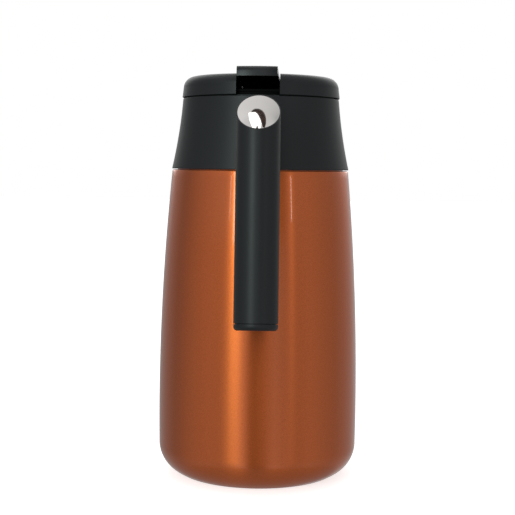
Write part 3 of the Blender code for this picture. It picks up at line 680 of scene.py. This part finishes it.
def handle_axes():
    """The handle's corner, with the grip down -Z and the arm along +Y."""
    return place(0.0, CORNER_Y, CORNER_Z, Matrix.Rotation(-HANDLE_TILT, 4, "X"))


def mitre_axes():
    """The same corner, with +Z out of the cut across it."""
    return handle_axes() @ Matrix.Rotation(atan2(MITRE_SLOPE, 1.0), 4, "X")


def oval(bm):
    """Stretches a round bmesh into the two half ellipses that the mitred bar shows."""
    for v in bm.verts:
        rise = 1.0 / MITRE_SLOPE if v.co.y > 0.0 else MITRE_SLOPE
        v.co.y *= sqrt(1.0 + rise**2)
    return bm


def elbow():
    """A solid bar of two legs, down -Z and along +Y, with its outer corner cut off."""
    bm = bmesh.new()
    turns = [2.0 * pi * i / AROUND_BAR for i in range(AROUND_BAR)]
    ring = [(GRIP_R * cos(a), GRIP_R * sin(a)) for a in turns]
    corner = [bm.verts.new((x, y, min(-y, MITRE_SLOPE * y))) for x, y in ring]
    upper = [
        corner[i] if y > -1e-6 else bm.verts.new((x, -y / MITRE_SLOPE, -y)) for i, (x, y) in enumerate(ring)
    ]
    foot = [bm.verts.new((x, y, -GRIP_LENGTH)) for x, y in ring]
    far = [bm.verts.new((x, ARM_LENGTH, -y)) for x, y in ring]
    for i in range(AROUND_BAR):
        j = (i + 1) % AROUND_BAR
        bm.faces.new((corner[i], corner[j], foot[j], foot[i]))
        bm.faces.new((upper[i], far[i], far[j], upper[j]))
    bm.faces.new(foot)
    bm.faces.new(far)
    half = AROUND_BAR // 2
    lower_rim = [corner[i % AROUND_BAR] for i in range(half, AROUND_BAR + 1)]
    upper_rim = [upper[i] for i in range(AROUND_BAR - 1, half, -1)]
    bm.faces.new(lower_rim + upper_rim)
    return bm


def make_grip():
    axes = handle_axes()
    obj = new_object("handle_bar", elbow(), axes)
    rim = [(collar_radius(z) + GAP, z) for z in spaced(COLLAR_BOTTOM_Z, COLLAR_TOP_Z, 24)]
    collar_form = [(0.0, COLLAR_BOTTOM_Z), *rim, (0.0, COLLAR_TOP_Z)]
    pocket = oval(rod(GRIP_R - CAP_RIM, -CAP_POCKET, 5.0, AROUND_BAR))
    bore = rod(GRIP_BORE_R, -GRIP_LENGTH - 5.0, -GRIP_LENGTH + BORE_DEPTH, AROUND_BAR)
    tools = [
        (pocket, "DIFFERENCE", mitre_axes()),
        (bore, "DIFFERENCE", axes),
        (turned(collar_form, AROUND_COLLAR), "DIFFERENCE", None),
    ]
    carve(obj, tools)
    finish_piece(obj, "jug", ["handle_grip"], CHARCOAL, bevel=0.22, sharp=35.0)


def make_disc():
    rim_r = GRIP_R - CAP_RIM - CAP_GAP
    dome_r = rim_r / cos(radians(DOME_START))
    turns = [radians(a) for a in range(DOME_START, 90, DOME_STEP)]
    section = [(0.0, CAP_BACK_Z), (rim_r, CAP_BACK_Z), (rim_r, -0.1)]
    section += [(dome_r * cos(a), DOME_RISE * sin(a) - CAP_POCKET) for a in turns]
    section += [(0.0, DOME_RISE - CAP_POCKET)]
    disc = new_object("handle_disc", oval(turned(section, AROUND_RING)), mitre_axes())
    finish_piece(disc, "jug", ["handle_cap"], CHROME, sharp=50.0)


def make_end_plug():
    top = -GRIP_LENGTH - PLUG_GAP
    bottom = top - END_T + END_INSET
    bend_r = GRIP_R - END_INSET - END_BEND_R
    shoulder = top + PLUG_GAP - END_INSET
    section = [(0.0, bottom), (bend_r, bottom)]
    section += arc((bend_r, bottom + END_BEND_R), END_BEND_R, -84.0, 0.0, 12)
    section += arc((GRIP_R - END_EDGE_R, top - END_EDGE_R), END_EDGE_R, 0.0, 90.0, 4)
    section += [(GRIP_R - SHOULDER_INSET, top), (GRIP_R - SHOULDER_INSET, shoulder)]
    section += [(GRIP_BORE_R - GAP, shoulder), (GRIP_BORE_R - GAP, top + END_NECK_LENGTH)]
    section += [(0.0, top + END_NECK_LENGTH)]
    plug = new_object("handle_plug", turned(section, AROUND_BAR), handle_axes())
    finish_piece(plug, "jug", ["handle_end_plug"], CHARCOAL, sharp=40.0)


# ---------------------------------------------------------------- lid


def lid_top(r):
    """The lid's slightly crowned top, which meets the edge rounding."""
    return LID_TOP_Z - (LID_TOP_Z - LID_EDGE_Z) * (r / LID_EDGE_R) ** 2


def make_lid():
    centre = (LID_EDGE_R, LID_EDGE_Z - LID_ROUND_R)
    outside = [(LID_R - 0.25, LID_BOTTOM_Z), (LID_R, LID_BOTTOM_Z + 0.3)]
    outside += arc(centre, LID_ROUND_R, 0.0, 86.0, 24)
    outside += [(r, lid_top(r)) for r in range(38, 7, -6)]
    outside += [(0.0, LID_TOP_Z)]
    inside_top = LID_TOP_Z - LID_T
    inside = [(0.0, inside_top), (22.0, inside_top - 0.1)]
    inside += arc(centre, LID_ROUND_R - LID_T, 86.0, 0.0, 12)
    inside += [(TRAY_R + 0.9, 244.5), (TRAY_R + GAP, 243.5), (TRAY_R + GAP, TRAY_Z - GAP)]
    inside += [(TRAY_R - 1.0, TRAY_Z - GAP), (TRAY_R - 1.0, 240.4), (TRAY_R + 0.6, LID_BOTTOM_Z)]
    obj = new_object("lid_top", turned(outside + inside))
    below_z = LID_BOTTOM_Z - 10.0
    notch_end_y = PIVOT_Y + NOTCH_PAST_PIVOT
    outline = [(CLEAR_Y, below_z), (NOTCH_INNER_Y, below_z), (NOTCH_INNER_Y, NOTCH_ROOF_Z)]
    outline += [(notch_end_y, NOTCH_ROOF_Z), (notch_end_y, CLEAR_Z), (CLEAR_Y, CLEAR_Z)]
    carve(obj, [(prism(outline, NOTCH_HALF_W), "DIFFERENCE", None)])
    finish_piece(obj, "lid", ["lid_cover"], CHARCOAL, bevel=0.35, sharp=40.0)


def make_lever():
    """The lever's side outline, cut to the lid's round edge by a turned form and drilled for its pin."""
    lip_back_y = LIP_DEPTH - LIP_R
    outline = [(PIVOT_Y + NOSE_REACH, NOSE_TOP_Z), (0.0, 253.2), (-30.0, 254.8), (-44.5, LEVER_TOP_Z)]
    outline += [(CLEAR_Y, LEVER_TOP_Z), (CLEAR_Y, LIP_BOTTOM_Z), (lip_back_y, LIP_BOTTOM_Z)]
    outline += [(lip_back_y + 1.5, 252.3), (-4.5, 250.6), (-1.8, BUTTON_TOP_Z + GAP)]
    outline += [(1.8, BUTTON_TOP_Z + GAP), (4.5, 250.0), (16.0, NOSE_BOTTOM_Z)]
    outline += arc((PIVOT_Y, PIVOT_Z), HUB_R, 150.0, 390.0, 20)
    outline += [(PIVOT_Y + NOSE_REACH, NOSE_BOTTOM_Z)]
    obj = new_object("thumb_lever", prism(outline, LEVER_HALF_W), place(LEVER_SIDE_X))

    below_z = LIP_BOTTOM_Z - 10.5
    form = [(0.0, below_z), (LIP_R, below_z), (LIP_R, LIP_BOTTOM_Z)]
    form += [(LIP_R - 0.10, 251.6), (LIP_R - 0.25, 252.6)]
    form += arc((LIP_R - 4.0, 253.0), 3.6, 9.0, 68.0, 12)
    form += [(LIP_R - 6.6, 257.2), (LIP_R - 6.6, CLEAR_Z), (0.0, CLEAR_Z)]
    hole = rod(PIN_R + PIN_GAP, -20.0, 20.0)
    pivot = place(0.0, PIVOT_Y, PIVOT_Z, Matrix.Rotation(pi / 2.0, 4, "Y"))
    carve(obj, [(turned(form, AROUND_VESSEL), "INTERSECT", None), (hole, "DIFFERENCE", pivot)])
    finish_piece(
        obj, "lever", ["lever"], LEVER_CHARCOAL, bevel=0.45, sharp=35.0, bevel_steps=4
    )


def make_stopper():
    floor_top = PLUG_BOTTOM_Z + PLUG_T
    step_z = LIP_Z + 2.4
    section = [
        (PORT_R, PLUG_BOTTOM_Z),
        (PLUG_TIP_R - 1.0, PLUG_BOTTOM_Z),
        (PLUG_TIP_R, PLUG_BOTTOM_Z + 1.0),
        (PLUG_TIP_R, 211.4),
        (30.9, 211.4),
        (30.9, 215.8),
        (PLUG_TIP_R, 215.8),
        (PLUG_TIP_R, step_z - 1.4),
        (PLUG_R, step_z),
        (PLUG_R, LID_BOTTOM_Z),
        (TRAY_R - 1.3, LID_BOTTOM_Z),
        (TRAY_R - 1.3, LID_BOTTOM_Z + FLANGE_T),
        (PLUG_R - PLUG_T, LID_BOTTOM_Z + FLANGE_T),
        (PLUG_R - PLUG_T, step_z),
        (29.0, 216.5),
        (29.0, floor_top),
        (PORT_R, floor_top),
    ]
    obj = new_object("stopper_plug", turned(section, AROUND_PLUG))
    tools = ridges(PLUG_R, THREAD_REACH, THREAD_Z - THREAD_DROP, radians(122.0))
    window = slab(6.5, 28.0, 40.0, CHANNEL_FLOOR_Z + 1.0, 237.0)
    carve(obj, tools + [(window, "DIFFERENCE", None)])
    # The stopper takes the near-black of painted shade, which stands in for the recess's shadow
    finish_piece(obj, "lid", ["stopper_body"], RECESS_PAINTED_SHADE, bevel=0.2)

    ring = [(31.2, 211.8), (33.0, 212.1), (33.4, 212.8), (32.7, 213.6)]
    ring += [(33.4, 214.4), (33.0, 215.1), (31.2, 215.4)]
    seal = new_object("plug_seal_ring", turned(softened(ring, 0.4, steps=4), AROUND_RING))
    finish_piece(seal, "lid_lift", ["stopper_gasket"], SILICONE, sharp=60.0)


def make_valve():
    plate = [(0.0, 201.6), (4.5, 201.6), (4.5, 203.0), (VALVE_R - 0.8, 203.0), (VALVE_R, 203.8)]
    plate += [(VALVE_R, 205.6), (STEM_R + 0.1, 205.6), (STEM_R + 0.1, 204.3), (0.0, 204.3)]
    obj = new_object("valve_disc", turned(softened(plate, 0.3), AROUND_BAR))
    finish_piece(obj, "valve", ["valve_plate"], INNER_BLACK)
    seal = [(STEM_R + 0.6, 205.9), (VALVE_R, 205.9), (VALVE_R, 207.0), (VALVE_R - 1.2, 207.9)]
    seal += [(VALVE_R - 2.6, 207.9), (PORT_R, 207.2), (STEM_R + 0.6, 207.2)]
    obj = new_object("valve_disc_seal", turned(softened(seal, 0.25), AROUND_BAR))
    finish_piece(obj, "valve", ["valve_seal"], SILICONE, sharp=50.0)


# ---------------------------------------------------------------- CAD nodes that aren't replaced


CAD_LOOKS = {
    STEEL: (
        "base_plate", "vacuum_seal_cap", "getter_capsule", "handle_bolt", "bolt_washer", "lever_pin",
        "valve_spring", "valve_stem", "tray_screw_1", "tray_screw_2", "tray_screw_3", "tray_screw_4",
    ),
    CHARCOAL: ("pour_channel",),
    # painted shade: near-black so the recess under the lever shows black
    RECESS_PAINTED_SHADE: ("lever_tray", "valve_button"),
    SILICONE: ("neck_gasket", "stem_seal"),
    BRASS: ("collar_insert",),
}


def dress_cad_nodes():
    """Gives these CAD nodes their materials."""
    for material, names in CAD_LOOKS.items():
        for name in names:
            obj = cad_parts[name]
            obj.data.materials.clear()
            obj.data.materials.append(material)
            obj.data.shade_smooth()
            obj.data.set_sharp_from_angle(angle=radians(SHARP_ON_CAD))


# ---------------------------------------------------------------- studio


FLOOR_HALF_SIDE = 6000.0


def make_floor():
    """A white sheet that shows the object's soft shadow and stays out of its light and reflections."""
    bm = bmesh.new()
    bmesh.ops.create_grid(bm, x_segments=1, y_segments=1, size=FLOOR_HALF_SIDE)
    obj = new_object("studio_floor", bm)
    n = Nodes("pale_floor")
    n.set(Base_Color=(0.90, 0.90, 0.90, 1.0), Roughness=0.9, Specular_IOR_Level=0.1)
    n.set(Emission_Color=(1.0, 1.0, 1.0, 1.0), Emission_Strength=0.72)
    obj.data.materials.append(n.material)
    obj.visible_glossy = False
    obj.visible_diffuse = False
    obj.visible_shadow = False


# Studio light level by azimuth in degrees: 0 is behind the camera, 90 is on its right. The low levels hold up
# to just above the horizon, the high ones from there to about 45 degrees up, and the top ones over that.
LOW_LEVELS = (
    (-180, 0.45), (-150, 0.32), (-110, 0.27), (-80, 0.41), (-57, 0.45), (-42, 0.41), (-33, 0.42),
    (-27, 0.55), (-21, 0.75), (-15, 0.68), (-8, 0.22), (-1, 0.15), (6, 0.22), (13, 0.46), (20, 0.70),
    (30, 0.56), (46, 0.41), (64, 0.48), (100, 0.34), (140, 0.36), (165, 0.50), (180, 0.45),
)
HIGH_LEVELS = (
    (-180, 2.1), (-160, 1.9), (-150, 1.6), (-142, 0.5), (-110, 0.26), (-80, 0.48), (-57, 0.64),
    (-45, 0.70), (-38, 0.75), (-33, 0.8), (-13, 0.8), (-8, 0.7), (-2, 0.85), (3, 1.40), (9, 1.0),
    (14, 0.5), (19, 0.15), (30, 0.18), (37, 0.5), (54, 0.52), (83, 0.44), (105, 0.40), (125, 0.45),
    (150, 1.1), (165, 2.4), (180, 2.5),
)
TOP_LEVELS = (
    (-180, 0.75), (-150, 0.85), (-90, 0.85), (-50, 0.5), (50, 0.40), (90, 0.65), (140, 0.5), (180, 0.75),
)
ZENITH_LEVEL = 0.72
NADIR_LEVEL = 0.34
BOUNCE_GAIN = 1.2  # of the low levels where light comes from below
LEVEL_SCALE = 2.0

# Heights of the light's direction, as sines of its elevation, between which one level turns into the next
NADIR_BAND = (-0.62, -0.52)
BOUNCE_BAND = (-0.45, -0.20)
HIGH_BAND = (0.03, 0.13)
TOP_BAND = (0.66, 0.75)
ZENITH_BAND = (0.93, 0.98)


def make_world():
    """A white backdrop for the camera, and for light a studio with its levels by azimuth and height."""
    world = bpy.data.worlds.new("studio")
    bpy.context.scene.world = world
    world.use_nodes = True
    tree = world.node_tree
    tree.nodes.clear()

    def add(kind, inputs=(), **settings):
        node = tree.nodes.new(kind)
        for key, value in settings.items():
            setattr(node, key, value)
        for key, value in inputs:
            if isinstance(value, bpy.types.NodeSocket):
                tree.links.new(value, node.inputs[key])
            else:
                node.inputs[key].default_value = value
        return node

    def maths(operation, first, second=0.0):
        return add("ShaderNodeMath", ((0, first), (1, second)), operation=operation).outputs["Value"]

    def band(low, high):
        """0 below the low height of the light's direction, 1 above the high one."""
        ranges = (("Value", height), ("From Min", low), ("From Max", high))
        return add("ShaderNodeMapRange", ranges, interpolation_type="SMOOTHSTEP").outputs["Result"]

    def levels(table):
        node = add("ShaderNodeValToRGB", (("Fac", turn),))
        stops = node.color_ramp.elements
        stops.remove(stops[1])
        for i, (azimuth, level) in enumerate(table):
            spot = azimuth / 360.0 + 0.5
            stop = stops.new(spot) if i else stops[0]
            stop.position = spot
            stop.color = (*[level / LEVEL_SCALE] * 3, 1.0)
        return node.outputs["Color"]

    def blend(factor, first, second):
        return add("ShaderNodeMix", ((0, factor), (2, first), (3, second))).outputs[0]

    parts = add("ShaderNodeSeparateXYZ", ((0, add("ShaderNodeTexCoord").outputs["Generated"]),))
    height = parts.outputs["Z"]
    turned_by = maths("ARCTAN2", parts.outputs["X"], maths("MULTIPLY", parts.outputs["Y"], -1.0))
    turn = maths("ADD", maths("DIVIDE", turned_by, 2.0 * pi), 0.5)
    low_level = levels(LOW_LEVELS)
    bounced = maths("MULTIPLY", low_level, BOUNCE_GAIN)
    level = blend(band(*BOUNCE_BAND), bounced, low_level)
    level = blend(band(*HIGH_BAND), level, levels(HIGH_LEVELS))
    level = blend(band(*TOP_BAND), level, levels(TOP_LEVELS))
    level = blend(band(*ZENITH_BAND), level, ZENITH_LEVEL / LEVEL_SCALE)
    level = blend(band(*NADIR_BAND), NADIR_LEVEL / LEVEL_SCALE, level)
    lit = add("ShaderNodeBackground", (("Strength", maths("MULTIPLY", level, LEVEL_SCALE)),))
    seen = add("ShaderNodeBackground", (("Color", (1.0, 1.0, 1.0, 1.0)),))
    sees = add("ShaderNodeLightPath").outputs["Is Camera Ray"]
    mixed = add("ShaderNodeMixShader", ((0, sees), (1, lit.outputs[0]), (2, seen.outputs[0])))
    add("ShaderNodeOutputWorld", (("Surface", mixed.outputs[0]),))


AIM_M = Vector((0.0, 0.0, 0.125))
SOFTBOX_DISTANCE_M = 4.0
OVERHEAD_PLACE_M = (-0.062, -0.17, 1.5)
OVERHEAD_SIZE_M = (0.19, 1.1)
OVERHEAD_LEVEL = 1.25
KEY_COLOUR = (0.86, 1.09, 1.03)
STRAIGHT_DOWN = Quaternion()


def panel(name, place_m, rotation, size_m, level, colour=(1.0, 1.0, 1.0)):
    """An area light that the camera doesn't see. Its level is its brightness, whatever its size."""
    light = bpy.data.lights.new(name, "AREA")
    light.shape = "RECTANGLE"
    light.size, light.size_y = size_m
    light.energy = level * pi * light.size * light.size_y
    light.color = colour
    obj = bpy.data.objects.new(name, light)
    bpy.context.scene.collection.objects.link(obj)
    obj.location = place_m
    obj.rotation_mode = "QUATERNION"
    obj.rotation_quaternion = rotation
    obj.visible_camera = False


def softbox(name, azimuth, elevation, width, height, level, colour=(1.0, 1.0, 1.0), lean=0.0):
    """A panel that faces the object, its place, size and sideways lean in degrees as the object sees them."""
    a, e = radians(azimuth), radians(elevation)
    away = Vector((sin(a) * cos(e), -cos(a) * cos(e), sin(e)))
    width_m = 2.0 * SOFTBOX_DISTANCE_M * cos(e) * tan(radians(width / 2.0))
    height_m = 2.0 * SOFTBOX_DISTANCE_M * tan(radians(height / 2.0))
    rotation = away.to_track_quat("Z", "Y") @ Quaternion((0.0, 0.0, 1.0), radians(lean))
    panel(name, AIM_M + away * SOFTBOX_DISTANCE_M, rotation, (width_m, height_m), level, colour)


def make_lights():
    softbox("key_strip", -27.0, 17.0, 12.8, 24.0, 4.1, KEY_COLOUR, lean=8.0)
    softbox("left_edge", -36.1, 12.0, 1.4, 11.0, 2.5)
    softbox("right_edge", 40.0, 12.0, 1.2, 11.0, 6.0)
    panel("overhead", OVERHEAD_PLACE_M, STRAIGHT_DOWN, OVERHEAD_SIZE_M, OVERHEAD_LEVEL)


# The lamp's dark boom over the object, seen only as its reflection in the chrome disc
BOOM_HEIGHT_M = 1.03
BOOM_ARM_M = (  # x, y and radius
    (-0.074, 0.214, 0.006), (-0.060, 0.222, 0.017), (-0.030, 0.232, 0.029), (0.000, 0.206, 0.030),
    (0.025, 0.134, 0.029), (0.045, 0.040, 0.026), (0.060, -0.030, 0.023), (0.073, -0.098, 0.018),
)
BOOM_CLAMP_M = (
    (-0.026, -0.040, 0.005), (-0.026, -0.075, 0.014), (-0.028, -0.130, 0.018), (-0.034, -0.300, 0.014),
)
BOOM_DARK, BOOM_LIGHT = (0.05, 0.045, 0.045), (0.16, 0.075, 0.06)


def make_boom():
    n = Nodes("boom_paint")
    n.drive("Base Color", n.mixed(n.spread(n.noise(6.0), 0.0, 1.0), BOOM_DARK, BOOM_LIGHT))
    n.set(Roughness=0.5)
    for name, path in (("boom_arm", BOOM_ARM_M), ("boom_clamp", BOOM_CLAMP_M)):
        curve = bpy.data.curves.new(name, "CURVE")
        curve.dimensions = "3D"
        curve.bevel_depth = 1.0
        curve.bevel_resolution = 4
        line = curve.splines.new("NURBS")
        line.points.add(len(path) - 1)
        line.use_endpoint_u = True
        line.order_u = 3
        for point, (x, y, radius) in zip(line.points, path):
            point.co = (x, y, BOOM_HEIGHT_M, 1.0)
            point.radius = radius
        curve.materials.append(n.material)
        obj = bpy.data.objects.new(name, curve)
        bpy.context.scene.collection.objects.link(obj)
        obj.visible_camera = obj.visible_diffuse = obj.visible_shadow = False


# Fitted to the photograph's outlines; the angles are degrees
CAMERA_YAW = 0.88
CAMERA_ROLL = 0.68
CAMERA_TILT = 4.41
CAMERA_DISTANCE_M = 0.7716
CAMERA_HEIGHT_M = 0.1977
CAMERA_SIDE_M = -0.0011
FOCAL_PIXELS = 1203.5
FRAME_PIXELS = 515.0
SENSOR_WIDTH = 36.0


def make_camera():
    data = bpy.data.cameras.new("camera")
    data.sensor_width = SENSOR_WIDTH
    data.lens = SENSOR_WIDTH * FOCAL_PIXELS / FRAME_PIXELS
    camera = bpy.data.objects.new("camera", data)
    bpy.context.scene.collection.objects.link(camera)
    bpy.context.scene.camera = camera
    yaw = Matrix.Rotation(radians(CAMERA_YAW), 4, "Z")
    stand = Matrix.Translation((CAMERA_SIDE_M, -CAMERA_DISTANCE_M, CAMERA_HEIGHT_M))
    tilt = Matrix.Rotation(radians(90.0 - CAMERA_TILT), 4, "X")
    roll = Matrix.Rotation(radians(CAMERA_ROLL), 4, "Z")
    camera.matrix_world = yaw @ stand @ (tilt @ roll)


make_camera()
make_world()
make_lights()
make_boom()
make_floor()
make_shell()
make_liner()
make_pad()
make_collar()
make_sleeve()
make_grip()
make_disc()
make_end_plug()
make_lid()
make_lever()
make_stopper()
make_valve()
dress_cad_nodes()

bpy.context.scene.view_settings.view_transform = "Standard"
